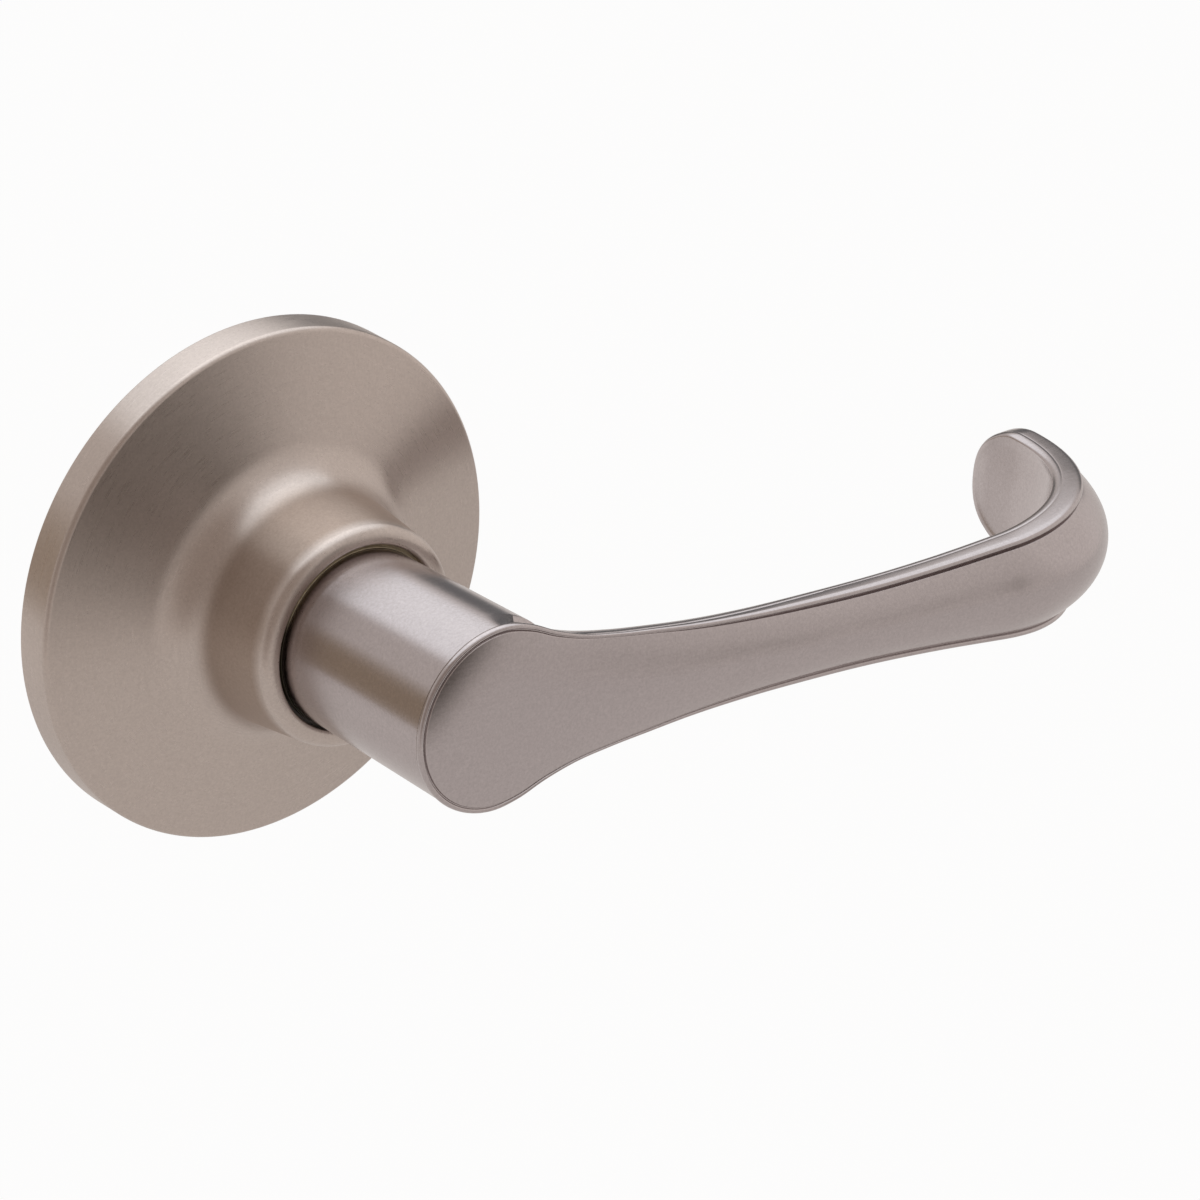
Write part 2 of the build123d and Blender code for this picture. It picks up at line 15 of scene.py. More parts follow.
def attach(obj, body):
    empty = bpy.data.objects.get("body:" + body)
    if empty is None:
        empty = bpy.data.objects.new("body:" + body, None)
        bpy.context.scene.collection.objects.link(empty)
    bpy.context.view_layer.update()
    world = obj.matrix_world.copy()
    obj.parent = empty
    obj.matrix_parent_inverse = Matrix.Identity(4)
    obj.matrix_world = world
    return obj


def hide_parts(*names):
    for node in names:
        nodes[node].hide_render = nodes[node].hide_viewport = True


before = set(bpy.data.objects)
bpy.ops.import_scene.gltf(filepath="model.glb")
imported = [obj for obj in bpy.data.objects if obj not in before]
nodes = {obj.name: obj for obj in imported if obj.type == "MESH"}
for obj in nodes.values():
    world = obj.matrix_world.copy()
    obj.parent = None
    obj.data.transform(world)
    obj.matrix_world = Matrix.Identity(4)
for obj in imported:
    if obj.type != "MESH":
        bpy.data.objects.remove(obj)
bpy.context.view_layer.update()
MM = 0.001

# Rose
rose_radius = 34.0
rose_rim_depth = 5.2
rose_edge_round = 0.8
rose_inner_round = 0.4
rose_back_round = 0.25
rose_sheet = 1.2
rose_face_slope = 13.6
neck_base_radius = 16.2
neck_flare_round = 6.5
neck_lip_radius = 14.5
neck_lip_depth = 24.2
neck_lip_round = 1.6
neck_mouth_radius = 12.2
neck_mouth_round = 0.62

# Neck bush
bush_bore_radius = 11.73
bush_nose_radius = 11.82
bush_nose_setback = 0.5
bush_nose_round = 0.06
bush_shoulder_round = 0.3
bush_corner_round = 0.02
bush_body_radius = 13.25
bush_shoulder_depth = 22.95
bush_flange_radius = 15.6
bush_flange_depth = 9.2
bush_back_depth = 8.0

# Lever shank
shank_end_depth = 9.3
shank_end_chamfer = 0.4
shank_journal_radius = 11.68
shank_journal_depth = 25.1
shank_head_radius = 12.08
shank_fillet_height = 6.0
shank_fillet_reach = 6.0
shank_sink = 0.8
shank_blend = (50.0, 95.0)
shank_top_shares = (0.5, 0.9, 1.0)
shank_top_overlap = 0.05
shank_sunk_share = 0.25
fillet_search_end = 40.0
fillet_search_step = 0.05
socket_width = 8.1
socket_depth = 34.5
screw_hole_radius = 3.01
screw_hole_depth = 31.0
screw_hole_reach = 14.0
cutter_overlap = 1.0

# Lever grip: place along the front edge line, half height of the face, swell of the edge bead past it,
# thickness behind the line, crown in front of it
lever_line_depth = 51.7
bend_start = 83.6
bend_radius = 26.8
bend_angle = 95.7
tip_run = 4.2
tip_round_length = 8.7
tip_end_thickness = 2.2
lever_stations = [
    (0.0, 11.75, 0.53, 4.0, 0.66),
    (4.0, 11.0, 0.53, 4.0, 0.67),
    (8.0, 9.35, 0.55, 4.1, 0.70),
    (12.5, 7.95, 0.58, 4.3, 0.75),
    (18.0, 7.0, 0.62, 4.2, 0.84),
    (24.0, 6.25, 0.70, 4.0, 0.96),
    (31.0, 5.45, 0.80, 4.0, 1.10),
    (40.0, 4.90, 0.85, 4.0, 1.30),
    (50.0, 4.70, 0.88, 4.0, 1.55),
    (61.0, 4.85, 0.80, 4.0, 1.70),
    (72.0, 5.40, 0.72, 4.0, 1.85),
    (83.6, 6.30, 0.66, 4.0, 2.12),
    (92.0, 7.00, 0.62, 4.0, 2.88),
    (100.0, 7.45, 0.60, 4.0, 3.75),
    (108.0, 7.65, 0.60, 4.0, 4.17),
    (116.0, 7.60, 0.60, 4.0, 4.15),
    (123.86, 7.50, 0.60, 4.0, 4.0),
]
line_end = bend_start + bend_radius * radians(bend_angle) + tip_run
tip_start = line_end - tip_round_length

# Edge bead: place, depth of its round front, half height, depth of its rear strip, crease behind that strip,
# rounding of the back, how far its side is tucked in where the shank covers it, depth of the groove in front,
# run of the groove's wall on the face's side, hollow of the grip's back, and roll of the face to the groove.
# The groove below the grip is shallower. A groove's lip, wall and corner are each (depth, run or width).
bead_stations = [
    (0.0, 0.54, 0.37, 0.46, 0.28, 0.5, 0.45, 0.42, 0.18, 0.0, 1.0),
    (14.0, 0.30, 0.20, 0.25, 0.12, 2.2, 0.0, 0.18, 0.20, 0.0, 0.6),
    (33.0, 0.46, 0.30, 0.56, 0.10, 2.4, 0.0, 0.32, 0.14, 0.0, 0.0),
    (55.0, 0.75, 0.44, 1.20, 0.08, 2.0, 0.0, 0.55, 0.10, 0.0, 0.0),
    (75.0, 0.80, 0.46, 1.40, 0.08, 1.4, 0.0, 0.70, 0.08, 0.1, 0.0),
    (95.0, 0.90, 0.54, 1.90, 0.08, 0.7, 0.0, 0.70, 0.08, 0.4, 0.0),
    (110.0, 0.90, 0.54, 1.90, 0.08, 0.6, 0.0, 0.65, 0.08, 0.4, 0.0),
    (123.86, 0.80, 0.50, 1.80, 0.06, 0.5, 0.0, 0.50, 0.08, 0.1, 0.0),
]
lower_groove_share = 0.45
lower_groove_fade = 14.0
bead_undercut = 50.0
bead_strip_gap = 0.1
bead_side_share = 0.5
groove_width = 0.12
groove_slope = 0.45
groove_least = 0.06
groove_lip = (0.02, 0.35)
groove_wall = (0.25, 0.7)
groove_corner = (0.05, 0.03)
crown_foot = -0.05
crown_fullness = 0.75
back_crease_width = 0.5

# Mesh steps
turn_steps = 288
arc_steps = 14
head_steps = 56
grip_step = 0.6
tip_steps = 44
crown_steps = 22
bead_steps = 14
rear_steps = 6
corner_steps = 8
back_steps = 8
shank_steps = 192
shank_rows = 20
fillet_rows = 14
rod_steps = 64
floor_steps = 128

# Edges sharper than these angles stay crisp, and points nearer than this many metres become one
turned_sharp_angle = 40.0
lever_sharp_angle = 50.0
plain_sharp_angle = 30.0
merge_distance = 1e-7
lever_merge_distance = 2e-6
lever_sliver_length = 1e-6


def fillet_path(corners, rounds):
    """Points of a path through corners, with each inner corner rounded to its radius."""
    points = [corners[0]]
    for before, corner, after, radius in zip(corners, corners[1:], corners[2:], rounds):
        here = Vector(corner)
        back = (Vector(before) - here).normalized()
        ahead = (Vector(after) - here).normalized()
        half_angle = back.angle(ahead) / 2
        centre = here + (back + ahead).normalized() * (radius / sin(half_angle))
        start = here + back * (radius / tan(half_angle))
        end = here + ahead * (radius / tan(half_angle))
        turn = (start - centre).angle_signed(end - centre)
        for k in range(arc_steps + 1):
            arm = (start - centre).copy()
            arm.rotate(Matrix.Rotation(-turn * k / arc_steps, 2))
            points.append(tuple(centre + arm))
    points.append(corners[-1])
    return points


def new_object(name, bm, sharp_angle):
    """An object from a bmesh, smooth-shaded, with edges sharper than an angle kept crisp."""
    bmesh.ops.remove_doubles(bm, verts=bm.verts, dist=merge_distance)
    bmesh.ops.recalc_face_normals(bm, faces=bm.faces)
    mesh = bpy.data.meshes.new(name)
    bm.to_mesh(mesh)
    bm.free()
    mesh.shade_smooth()
    mesh.set_sharp_from_angle(angle=radians(sharp_angle))
    obj = bpy.data.objects.new(name, mesh)
    bpy.context.scene.collection.objects.link(obj)
    return obj


def grid_faces(bm, rows, closed_rows=False, closed_columns=False, material=0):
    """Quads between rows of vertices; vertices that share a place are merged later."""
    row_pairs = list(zip(rows, rows[1:] + rows[:1])) if closed_rows else list(zip(rows, rows[1:]))
    for low, high in row_pairs:
        count = len(low) if closed_columns else len(low) - 1
        for k in range(count):
            following = (k + 1) % len(low)
            face = bm.faces.new((low[k], low[following], high[following], high[k]))
            face.material_index = material


def turned(name, profile):
    """A ring turned about the Y axis from a closed profile of (radius, depth) points."""
    bm = bmesh.new()
    rows = []
    for radius, depth in profile:
        row = []
        for k in range(turn_steps):
            angle = 2 * pi * k / turn_steps
            row.append(bm.verts.new((radius * sin(angle) * MM, -depth * MM, radius * cos(angle) * MM)))
        rows.append(row)
    grid_faces(bm, rows, closed_rows=True, closed_columns=True)
    return new_object(name, bm, turned_sharp_angle)


def rose_corners(inset):
    """Corners of the rose's section moved inwards by an inset."""
    slope = radians(rose_face_slope)
    rim = rose_rim_depth + inset * tan(slope) - inset / cos(slope)
    foot_radius = neck_base_radius - inset
    foot = rose_rim_depth + (rose_radius - foot_radius) * tan(slope) - inset / cos(slope)
    return [
        (rose_radius - inset, 0),
        (rose_radius - inset, rim),
        (foot_radius, foot),
        (neck_lip_radius - inset, neck_lip_depth - inset),
    ]


def rose_profile():
    """The closed section of the pressed rose: outer skin, rolled mouth, inner skin."""
    outer = rose_corners(0)
    inner = rose_corners(rose_sheet)
    mouth = [(neck_mouth_radius, neck_lip_depth), (neck_mouth_radius, neck_lip_depth - rose_sheet)]
    skin = [(rose_radius - rose_sheet / 2, 0), *outer, *mouth]
    rounds = [rose_back_round, rose_edge_round, neck_flare_round, neck_lip_round, neck_mouth_round]
    inside_rounds = [neck_flare_round + rose_sheet, rose_inner_round]
    return fillet_path(skin, rounds) + fillet_path(inner[::-1], inside_rounds)


def bush_profile():
    """The closed section of the moulded bush in the neck, with a rounded nose."""
    nose_depth = neck_lip_depth - bush_nose_setback
    corners = [
        (bush_bore_radius, bush_back_depth),
        (bush_flange_radius, bush_back_depth),
        (bush_flange_radius, bush_flange_depth),
        (bush_body_radius, bush_flange_depth),
        (bush_body_radius, bush_shoulder_depth),
        (bush_nose_radius, bush_shoulder_depth),
        (bush_nose_radius, nose_depth),
        (bush_bore_radius, nose_depth),
    ]
    rounds = [bush_corner_round] * 3 + [bush_shoulder_round, bush_corner_round] + [bush_nose_round] * 2
    return fillet_path([*corners, corners[0]], rounds)[:-1]


def line_point(place, outward, height):
    """Point of the lever, in metres, from its place along the front edge line."""
    bend_length = bend_radius * radians(bend_angle)
    turn = max(0.0, min(place - bend_start, bend_length)) / bend_radius
    past = max(0.0, place - bend_start - bend_length)
    x = min(place, bend_start) + bend_radius * sin(turn) + past * cos(turn)
    y = -lever_line_depth + bend_radius * (1 - cos(turn)) + past * sin(turn)
    return Vector((x + outward * sin(turn), y - outward * cos(turn), height)) * MM


def smooth_at(stations, place, column):
    """A station column at a place, on a smooth curve that is level at the first station."""

    def slope(k):
        if k == 0:
            return 0.0
        k = min(k, len(stations) - 2)
        run_before = stations[k][0] - stations[k - 1][0]
        run_after = stations[k + 1][0] - stations[k][0]
        rate_before = (stations[k][column] - stations[k - 1][column]) / run_before
        rate_after = (stations[k + 1][column] - stations[k][column]) / run_after
        return (rate_before * run_after + rate_after * run_before) / (run_before + run_after)

    k = 0
    while k < len(stations) - 2 and stations[k + 1][0] < place:
        k += 1
    start, end = stations[k], stations[k + 1]
    run = end[0] - start[0]
    t = min(1.0, (place - start[0]) / run)
    blend = 3 * t**2 - 2 * t**3
    bulge = slope(k) * (t**3 - 2 * t**2 + t) + slope(k + 1) * (t**3 - t**2)
    return start[column] * (1 - blend) + end[column] * blend + bulge * run


def station_at(place):
    """Half height, swell, thickness and crown of the lever at a place."""
    return [smooth_at(lever_stations, place, column) for column in range(1, 5)]


def bead_at(place):
    """Sizes of the edge bead at a place: a fine line round the head that grows along the grip."""
    keys = ("front", "inset", "rear", "crease", "back_inset", "tuck", "groove", "wall", "behind", "roll")
    return {key: max(0.0, smooth_at(bead_stations, place, column + 1)) for column, key in enumerate(keys)}


def crown_shape(share, half, rise, roll=0.0):
    """Height of the crown as a share of its rise, at a share of its half width."""
    radius = (half**2 + rise**2) / (2 * rise)
    arc = (sqrt(max(0.0, radius**2 - (share * half) ** 2)) - (radius - rise)) / rise
    full = arc * crown_fullness + (1 - share**2) * (1 - crown_fullness)
    return full * (1 - roll) + (1 - share**3) * roll


def edge_points(band, thickness, bead, groove_share):
    """The groove, bead and back corner of a section as (outward, height), from the face to the back."""
    undercut = radians(bead_undercut)
    top = band - bead["inset"]
    foot = top - bead["inset"] * sin(undercut)
    foot_depth = bead["front"] * (1 - cos(undercut))
    depth = max(bead["groove"] * groove_share, foot_depth + groove_least)
    wall = bead["wall"]
    floor_end = foot - groove_slope * (depth - foot_depth)
    face = floor_end - groove_width - wall
    lip_drop, lip_share = groove_lip
    wall_fall, wall_share = groove_wall
    corner_height, corner_width = groove_corner
    points = [
        (crown_foot - lip_drop, face + wall * lip_share),
        (crown_foot - (depth + crown_foot) * wall_fall, face + wall * wall_share),
        (-depth + corner_height, face + wall),
        (-depth, face + wall + corner_width),
        (-depth, floor_end),
    ]
    for k in range(bead_steps + 1):
        angle = -undercut + (pi / 2 + undercut) * k / bead_steps
        points.append((-bead["front"] * (1 - cos(angle)), top + bead["inset"] * sin(angle)))
    for k in range(1, rear_steps + 1):
        angle = pi / 2 * k / rear_steps
        points.append((-bead["front"] - bead["rear"] * sin(angle), band - bead["crease"] * (1 - cos(angle))))
    side = band - bead["crease"] * bead_side_share - bead["tuck"]
    start = bead["front"] + bead["rear"] + bead_strip_gap
    for k in range(corner_steps + 1):
        angle = pi / 2 * k / corner_steps
        outward = -start - (thickness - start) * sin(angle)
        points.append((outward, side - bead["back_inset"] * (1 - cos(angle))))
    return face, points


def section(place, groove_share):
    """Half section of the lever at a place, from the middle of the face round to the middle of the back."""
    half, swell, thickness, crown = station_at(place)
    bead = bead_at(place)
    face, edge = edge_points(half + swell, thickness, bead, groove_share)
    rise = crown - crown_foot
    points = []
    for k in range(crown_steps + 1):
        share = sin(pi / 2 * k / crown_steps)
        points.append((crown_foot + rise * crown_shape(share, face, rise, bead["roll"]), face * share))
    points += edge
    back_height = points[-1][1] - back_crease_width
    for k in range(back_steps + 1):
        hollow = bead["behind"] * (1 + cos(pi * k / back_steps)) / 2
        points.append((-thickness + hollow, back_height * (1 - k / back_steps)))
    return points


def head_point(outward, height, angle):
    """Point of the round head: a section swung about the turning axis."""
    return Vector((height * cos(angle), -lever_line_depth - outward, height * sin(angle))) * MM


def tip_point(outward, height, angle, band):
    """Point of the rounded tip's edge: a section swung about the tip's middle and wrapped round the bend."""
    along = height / band * tip_round_length * cos(angle)
    fall = sqrt(max(0.0, 1 - (along / tip_round_length) ** 2))
    thickness = station_at(tip_start)[2]
    thin = (tip_end_thickness + (thickness - tip_end_thickness) * fall) / thickness
    return line_point(tip_start + along, outward * thin, height * sin(angle))


def tip_crown_point(share, face, rise, angle, band):
    """Point of the tip's crown, which keeps its fullness to the rim."""
    along = share * face / band * tip_round_length * cos(angle)
    fall = sqrt(max(1e-9, 1 - (share * cos(angle)) ** 2))
    across = min(1.0, share * sin(angle) / fall)
    outward = crown_foot + rise * fall * crown_shape(across, face, rise)
    return line_point(tip_start + along, outward, face * share * sin(angle))


def plate_columns(groove_share):
    """Columns of points for half of head, grip and tip, from the head's left to the tip's end."""
    columns = []
    for k in range(head_steps):
        angle = pi - pi / 2 * k / head_steps
        head = section(0.0, 1 - (1 - groove_share) * k / head_steps)
        columns.append([head_point(outward, height, angle) for outward, height in head])
    grip_count = round(tip_start / grip_step)
    for k in range(grip_count + 1):
        place = tip_start * k / grip_count
        fade = min(1.0, (tip_start - place) / lower_groove_fade)
        here = section(place, 1 - (1 - groove_share) * fade)
        columns.append([line_point(place, outward, height) for outward, height in here])
    half, swell, thickness, crown = station_at(tip_start)
    band = half + swell
    face = edge_points(band, thickness, bead_at(tip_start), 1.0)[0]
    end = section(tip_start, 1.0)
    for k in range(1, tip_steps + 1):
        angle = pi / 2 * (1 - k / tip_steps)
        column = []
        for j, (outward, height) in enumerate(end):
            if j <= crown_steps:
                share = sin(pi / 2 * j / crown_steps)
                column.append(tip_crown_point(share, face, crown - crown_foot, angle, band))
            else:
                column.append(tip_point(outward, height, angle, band))
        columns.append(column)
    return columns


def lever_plate():
    """Head, grip and tip as one closed mesh, in two halves about the lever's middle plane."""
    bm = bmesh.new()
    for side, groove_share in ((1, 1.0), (-1, lower_groove_share)):
        columns = plate_columns(groove_share)
        rows = [[bm.verts.new((p.x, p.y, side * p.z)) for p in column] for column in columns]
        grid_faces(bm, [row[: crown_steps + 1] for row in rows], material=1)
        grid_faces(bm, [row[crown_steps:] for row in rows])
    bmesh.ops.remove_doubles(bm, verts=bm.verts, dist=lever_merge_distance)
    bmesh.ops.dissolve_degenerate(bm, edges=bm.edges, dist=lever_sliver_length)
    return new_object("lever_casting", bm, lever_sharp_angle)


def reach_past_shank(angle):
    """How far the back of the grip reaches past the shank in a direction about the turning axis."""
    if cos(angle) <= 0:
        return 0.0
    far = 0.0
    place = 0.0
    while place < fillet_search_end:
        half, swell = station_at(place)[:2]
        bead = bead_at(place)
        height = half + swell - bead["back_inset"] - bead["tuck"]
        if place * abs(sin(angle)) > height * cos(angle):
            break
        far = place / cos(angle)
        place += fillet_search_step
    return max(0.0, far - shank_head_radius)


def shank_body():
    """The shank as a closed mesh, with a fillet that spreads onto the back of the grip."""
    bm = bmesh.new()
    back_depth = lever_line_depth - station_at(0.0)[2]
    flare = (shank_head_radius - shank_journal_radius) / (back_depth - shank_journal_depth)
    angles = [2 * pi * k / shank_steps for k in range(shank_steps)]
    spreads = []
    for angle in angles:
        reach = reach_past_shank(angle)
        spreads.append(reach * shank_fillet_reach / (reach + shank_fillet_reach))
    start = shank_end_depth + shank_end_chamfer
    fillet_start = back_depth - shank_fillet_height
    # Rows of the shank: depth, change of radius, share of the spread onto the grip's back
    levels = [(shank_end_depth, -shank_end_chamfer, 0.0), (start, 0.0, 0.0)]
    for k in range(1, shank_rows + 1):
        levels.append((start + (fillet_start - start) * k / shank_rows, 0.0, 0.0))
    for k in range(1, fillet_rows + 1):
        angle = pi / 2 * k / fillet_rows
        levels.append((fillet_start + shank_fillet_height * sin(angle), 0.0, 1 - cos(angle)))
    bead = bead_at(0.0)
    top_depth = lever_line_depth - bead["front"] - bead["rear"] + shank_top_overlap
    for share in shank_top_shares:
        levels.append((back_depth + (top_depth - back_depth) * share, 0.0, 1.0))
    low_side, high_side = (radians(limit) for limit in shank_blend)
    rows = []
    for depth, inset, share in levels:
        base = shank_journal_radius + flare * max(0.0, depth - shank_journal_depth) + inset
        row = []
        for angle, spread in zip(angles, spreads):
            around = abs(atan2(sin(angle), cos(angle)))
            t = min(1.0, max(0.0, (around - low_side) / (high_side - low_side)))
            outside = 3 * t**2 - 2 * t**3
            past = max(0.0, depth - back_depth)
            radius = base + spread * share - min(past * (1 - outside), shank_sink)
            deep = depth - past * (1 - shank_sunk_share) * (1 - outside)
            row.append(bm.verts.new((radius * cos(angle) * MM, -deep * MM, radius * sin(angle) * MM)))
        rows.append(row)
    grid_faces(bm, rows, closed_columns=True)
    bm.faces.new(rows[0])
    bm.faces.new(rows[-1])
    return new_object("shank_form", bm, lever_sharp_angle)


def cutter_box(low, high):
    """A box used to cut a socket."""
    bm = bmesh.new()
    size = [(b - a) * MM for a, b in zip(low, high)]
    middle = Vector([(a + b) / 2 * MM for a, b in zip(low, high)])
    bmesh.ops.create_cube(bm, size=1.0, matrix=Matrix.Translation(middle) @ Matrix.Diagonal((*size, 1.0)))
    return new_object("cutter", bm, plain_sharp_angle)


def cutter_rod(radius, depth, bottom, top):
    """An upright rod used to cut the screw hole."""
    bm = bmesh.new()
    middle = Vector((0, -depth, (bottom + top) / 2)) * MM
    bmesh.ops.create_cone(
        bm,
        cap_ends=True,
        segments=rod_steps,
        radius1=radius * MM,
        radius2=radius * MM,
        depth=(top - bottom) * MM,
        matrix=Matrix.Translation(middle),
    )
    return new_object("cutter", bm, plain_sharp_angle)


def combine(obj, other, operation):
    """Applies a boolean with another object, which is then removed."""
    modifier = obj.modifiers.new(operation, "BOOLEAN")
    modifier.operation = operation
    modifier.object = other
    modifier.solver = "EXACT"
    depsgraph = bpy.context.evaluated_depsgraph_get()
    mesh = bpy.data.meshes.new_from_object(obj.evaluated_get(depsgraph))
    obj.modifiers.clear()
    obj.data = mesh
    bpy.data.objects.remove(other)


def lever_casting():
    """The lever as one casting: plate and shank joined, with the spindle's socket and the screw hole cut."""
    lever = lever_plate()
    combine(lever, shank_body(), "UNION")
    half = socket_width / 2
    socket = cutter_box((-half, -socket_depth, -half), (half, -shank_end_depth + cutter_overlap, half))
    combine(lever, socket, "DIFFERENCE")
    combine(lever, cutter_rod(screw_hole_radius, screw_hole_depth, -screw_hole_reach, 0.0), "DIFFERENCE")
    lever.data.shade_smooth()
    lever.data.set_sharp_from_angle(angle=radians(lever_sharp_angle))
    return lever


# Finishes: sizes are in metres, and noise scales are per metre
noise_range = (0.3, 0.7)
relief_height = 0.00005
brush_relief_height = 0.00004
grain_scale = 2600.0
grain_depth = 0.09
brush_roughness_spread = 0.04
brush_turn = 0.25
rose_mark_scale = (5200.0, 8.0, 8.0)
lever_mark_scale = (250.0, 3600.0, 3600.0)
# Painted shade: heights where a darker band round the rose's neck fades in and out, standing in for the dark
# reflection on the neck
neck_band_lip = (-0.0232, -0.0212)
neck_band_face = (-0.0150, -0.0115)
neck_band_roughness = 0.10
mottle_spread = (0.8, 1.2)
metal_fine_scale = 9
metal_relief = 0.12
cloud_scale = 90.0
plastic_roughness_spread = 0.06
plastic_relief = 0.2
# Neck bush: a painted shade darkens it towards the bottom; cloud scale of its ragged edge, heights where it
# fades, its range and raggedness, and the bush's roughness range
bush_cloud_scale = 600.0
bush_shade_heights = (0.001, 0.008)
bush_shade_range = (-0.15, 0.85)
bush_shade_raggedness = 0.15
bush_roughness_range = (0.38, 0.52)


class Shader:
    """A material's node tree, with short calls for the nodes that the finishes share."""

    def __init__(self, name):
        self.material = bpy.data.materials.new(name)
        self.material.use_nodes = True
        self.tree = self.material.node_tree
        self.bsdf = self.tree.nodes["Principled BSDF"]

    def add(self, kind, **settings):
        """A new node with its settings."""
        node = self.tree.nodes.new(kind)
        for key, value in settings.items():
            setattr(node, key, value)
        return node

    def link(self, output, socket):
        self.tree.links.new(output, socket)

    def place(self, scale):
        """Object coordinates, scaled along each axis."""
        coordinates = self.add("ShaderNodeTexCoord")
        mapping = self.add("ShaderNodeMapping")
        mapping.inputs["Scale"].default_value = scale
        self.link(coordinates.outputs["Object"], mapping.inputs["Vector"])
        return mapping.outputs["Vector"]

    def noise(self, vector, scale, detail=3.0, roughness=0.55):
        """A cloudy value, mostly between 0.3 and 0.7."""
        node = self.add("ShaderNodeTexNoise")
        node.inputs["Scale"].default_value = scale
        node.inputs["Detail"].default_value = detail
        node.inputs["Roughness"].default_value = roughness
        self.link(vector, node.inputs["Vector"])
        return node.outputs["Fac"]

    def spread(self, factor, low, high):
        """A noise value taken to a range."""
        node = self.add("ShaderNodeMapRange")
        node.inputs["From Min"].default_value, node.inputs["From Max"].default_value = noise_range
        node.inputs["To Min"].default_value = low
        node.inputs["To Max"].default_value = high
        self.link(factor, node.inputs["Value"])
        return node.outputs["Result"]

    def tint(self, factor, first, second):
        """A colour between two colours."""
        node = self.add("ShaderNodeMix", data_type="RGBA")
        node.inputs["A"].default_value = (*first, 1.0)
        node.inputs["B"].default_value = (*second, 1.0)
        self.link(factor, node.inputs["Factor"])
        return node.outputs["Result"]

    def bump(self, height, strength, distance=relief_height):
        """A fine relief in the surface."""
        node = self.add("ShaderNodeBump")
        node.inputs["Strength"].default_value = strength
        node.inputs["Distance"].default_value = distance
        self.link(height, node.inputs["Height"])
        self.link(node.outputs["Normal"], self.bsdf.inputs["Normal"])

    def turned_tangent(self):
        """The direction of marks that run round the turning axis."""
        return self.add("ShaderNodeTangent", direction_type="RADIAL", axis="Y").outputs["Tangent"]

    def grip_tangent(self):
        """The direction of marks that run along the grip and follow its bend."""
        coordinates = self.add("ShaderNodeTexCoord")
        cross = self.add("ShaderNodeVectorMath", operation="CROSS_PRODUCT")
        cross.inputs[0].default_value = (0.0, 0.0, 1.0)
        self.link(coordinates.outputs["Normal"], cross.inputs[1])
        turn = self.add("ShaderNodeVectorTransform", convert_from="OBJECT", convert_to="WORLD")
        self.link(cross.outputs["Vector"], turn.inputs["Vector"])
        return turn.outputs["Vector"]

    def rings(self):
        """A vector whose first part runs along the turned profile, and whose others go round the axis."""
        coordinates = self.add("ShaderNodeTexCoord")
        split = self.add("ShaderNodeSeparateXYZ")
        self.link(coordinates.outputs["Object"], split.inputs["Vector"])
        flat = self.add("ShaderNodeCombineXYZ")
        self.link(split.outputs["X"], flat.inputs["X"])
        self.link(split.outputs["Z"], flat.inputs["Y"])
        length = self.add("ShaderNodeVectorMath", operation="LENGTH")
        self.link(flat.outputs["Vector"], length.inputs[0])
        run = self.add("ShaderNodeMath", operation="ADD")
        self.link(length.outputs["Value"], run.inputs[0])
        self.link(split.outputs["Y"], run.inputs[1])
        way = self.add("ShaderNodeVectorMath", operation="NORMALIZE")
        self.link(flat.outputs["Vector"], way.inputs[0])
        parts = self.add("ShaderNodeSeparateXYZ")
        self.link(way.outputs["Vector"], parts.inputs["Vector"])
        joined = self.add("ShaderNodeCombineXYZ")
        self.link(run.outputs["Value"], joined.inputs["X"])
        self.link(parts.outputs["X"], joined.inputs["Y"])
        self.link(parts.outputs["Y"], joined.inputs["Z"])
        return joined.outputs["Vector"]

    def ramp(self, axis, start, end, low, high):
        """A value that goes from low to high between two places along an object axis."""
        coordinates = self.add("ShaderNodeTexCoord")
        split = self.add("ShaderNodeSeparateXYZ")
        self.link(coordinates.outputs["Object"], split.inputs["Vector"])
        node = self.add("ShaderNodeMapRange", interpolation_type="SMOOTHSTEP")
        node.inputs["From Min"].default_value = start
        node.inputs["From Max"].default_value = end
        node.inputs["To Min"].default_value = low
        node.inputs["To Max"].default_value = high
        self.link(split.outputs[axis], node.inputs["Value"])
        return node.outputs["Result"]

    def math(self, operation, *terms):
        """A sum or product of values, each a number or another node's output."""
        node = self.add("ShaderNodeMath", operation=operation)
        for socket, term in zip(node.inputs, terms):
            if isinstance(term, float):
                socket.default_value = term
            else:
                self.link(term, socket)
        return node.outputs["Value"]

    def shade(self, colour, factor, tone):
        """A colour multiplied by a tone, by a factor."""
        node = self.add("ShaderNodeMix", data_type="RGBA", blend_type="MULTIPLY")
        node.inputs["B"].default_value = (*tone, 1.0)
        self.link(factor, node.inputs["Factor"])
        self.link(colour, node.inputs["A"])
        return node.outputs["Result"]


